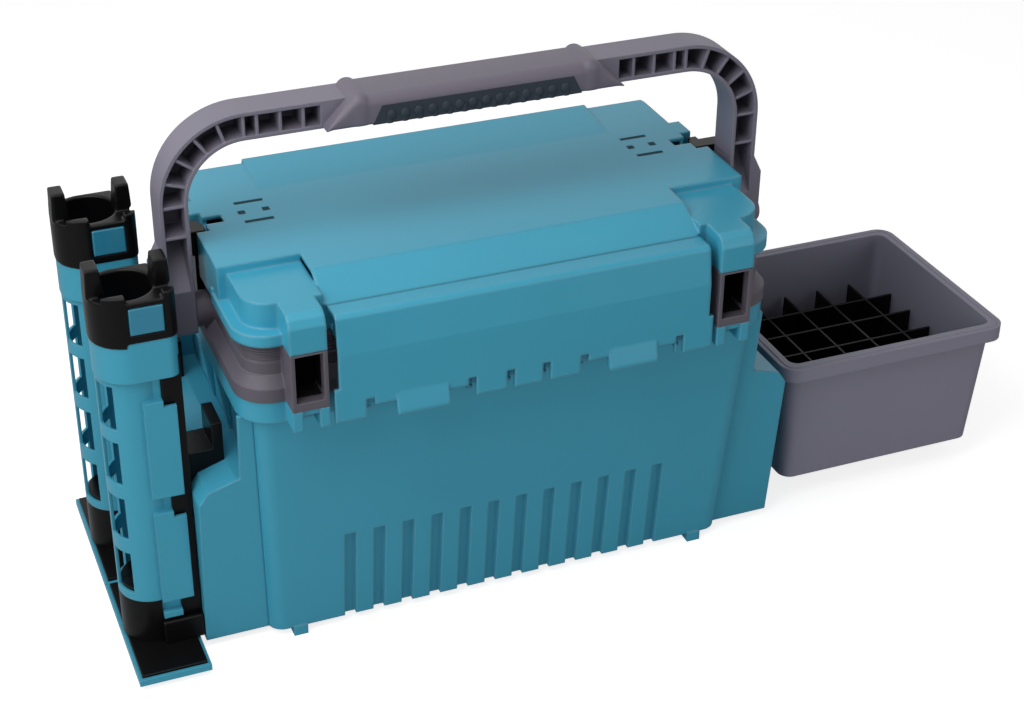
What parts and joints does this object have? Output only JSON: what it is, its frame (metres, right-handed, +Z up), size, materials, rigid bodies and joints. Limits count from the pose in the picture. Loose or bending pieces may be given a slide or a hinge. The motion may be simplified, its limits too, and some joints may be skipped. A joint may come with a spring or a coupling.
{
  "type": "fishing seat box",
  "caption": "Fishing seat box: ribbed tub, hinged lid with buckle flap, swinging carry handle, hanging rod stands and a side tray.",
  "frame": {"origin": "on the floor under the middle of the box, on the plane of the feet", "axes": "+X along the box towards the side tray, +Y to the back (hinge side), +Z up"},
  "size_m": [0.8515, 0.3107, 0.465],
  "materials": {
    "tub_plastic": "satin",
    "frame_plastic": "satin",
    "black_plastic": "satin",
    "stand_plastic": "satin",
    "tray_plastic": "satin",
    "grip_plastic": "satin",
    "grip_rubber": "matte",
    "steel": "brushed"
  },
  "bodies": {
    "box": {"tub": "tub_plastic", "side_box_right": "tub_plastic", "side_box_left": "tub_plastic", "rim_frame": "frame_plastic", "hinge_pins": "steel", "handle_pin_right": "frame_plastic", "handle_pin_left": "frame_plastic", "stopper_right": "black_plastic", "stopper_left": "black_plastic", "tray_hanger": "black_plastic", "front_stand_bracket": "black_plastic", "front_stand_shoe": "stand_plastic", "front_stand_hook": "black_plastic", "rear_stand_bracket": "black_plastic", "rear_stand_shoe": "stand_plastic", "rear_stand_hook": "black_plastic"},
    "lid_body": {"lid": "tub_plastic", "flap_pin": "steel"},
    "flap_body": {"front_flap": "tub_plastic"},
    "handle_body": {"handle": "frame_plastic", "handle_foot_right": "frame_plastic", "handle_foot_left": "frame_plastic", "grip_cover": "grip_plastic", "grip_insert": "grip_rubber"},
    "front_stand_body": {"front_stand_tube": "stand_plastic", "front_stand_collar": "black_plastic", "front_stand_end_cap": "black_plastic"},
    "front_button_body": {"front_stand_button": "stand_plastic"},
    "rear_stand_body": {"rear_stand_tube": "stand_plastic", "rear_stand_collar": "black_plastic", "rear_stand_end_cap": "black_plastic"},
    "rear_button_body": {"rear_stand_button": "stand_plastic"},
    "tray_body": {"side_tray": "tray_plastic"},
    "divider_body": {"long_slats": "black_plastic", "cross_slats": "black_plastic"}
  },
  "joints": [
    {"name": "lid_hinge", "type": "hinge", "parent": "box", "child": "lid_body", "pos_m": [0, 0.137, 0.318], "axis": [-1, 0, 0], "range_deg": [0, 20]},
    {"name": "flap_hinge", "type": "hinge", "parent": "lid_body", "child": "flap_body", "pos_m": [0, -0.1315, 0.3285], "axis": [-1, 0, 0], "range_deg": [0, 80]},
    {"name": "handle_swing", "type": "hinge", "parent": "box", "child": "handle_body", "pos_m": [0, -0.008, 0.288], "axis": [1, 0, 0], "range_deg": [0, 65]},
    {"name": "front_stand_lift", "type": "slide", "parent": "box", "child": "front_stand_body", "axis": [0, 0, 1], "range_m": [0, 0.06]},
    {"name": "front_button_push", "type": "slide", "parent": "front_stand_body", "child": "front_button_body", "axis": [0, 1, 0], "range_m": [0, 0.003], "stiffness_N_per_m": 600},
    {"name": "rear_stand_lift", "type": "slide", "parent": "box", "child": "rear_stand_body", "axis": [0, 0, 1], "range_m": [0, 0.06]},
    {"name": "rear_button_push", "type": "slide", "parent": "rear_stand_body", "child": "rear_button_body", "axis": [0, 1, 0], "range_m": [0, 0.003], "stiffness_N_per_m": 600},
    {"name": "tray_lift", "type": "slide", "parent": "box", "child": "tray_body", "axis": [0, 0, 1], "range_m": [0, 0.06]},
    {"name": "divider_lift", "type": "slide", "parent": "tray_body", "child": "divider_body", "axis": [0, 0, 1], "range_m": [0, 0.08]}
  ]
}
